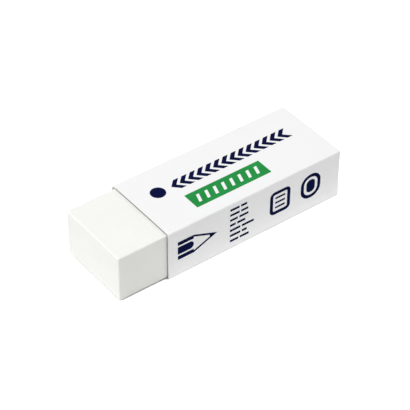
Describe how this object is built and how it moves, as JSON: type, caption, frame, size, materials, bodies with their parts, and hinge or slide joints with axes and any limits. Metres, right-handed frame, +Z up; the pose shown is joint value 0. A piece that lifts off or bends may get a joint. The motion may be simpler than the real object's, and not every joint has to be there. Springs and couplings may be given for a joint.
{
  "type": "block eraser",
  "caption": "White block eraser that slides in a folded card sleeve, with one bare rubbing end and a plain printed pattern on the sleeve.",
  "frame": {"origin": "centre of the underside of the whole part, on the surface that the sleeve rests on", "axes": "+X along the block, from the bare rubbing end towards the end level with the sleeve; +Y across the broad faces, towards the seam; +Z up"},
  "size_m": [0.065, 0.0227, 0.0139],
  "materials": {
    "eraser": "matt, faintly translucent, warm white",
    "card": "coated white card, satin outside, plain inside",
    "blue_ink": "printed ink, satin dark blue",
    "green_ink": "printed ink, satin green"
  },
  "bodies": {
    "sleeve": {"card_sleeve": "card", "blue_print": "blue_ink", "green_print": "green_ink"},
    "block": {"eraser_block": "eraser"}
  },
  "joints": [
    {"name": "block_slide", "type": "slide", "parent": "sleeve", "child": "block", "axis": [-1, 0, 0], "range_m": [-0.0135, 0.052]}
  ]
}
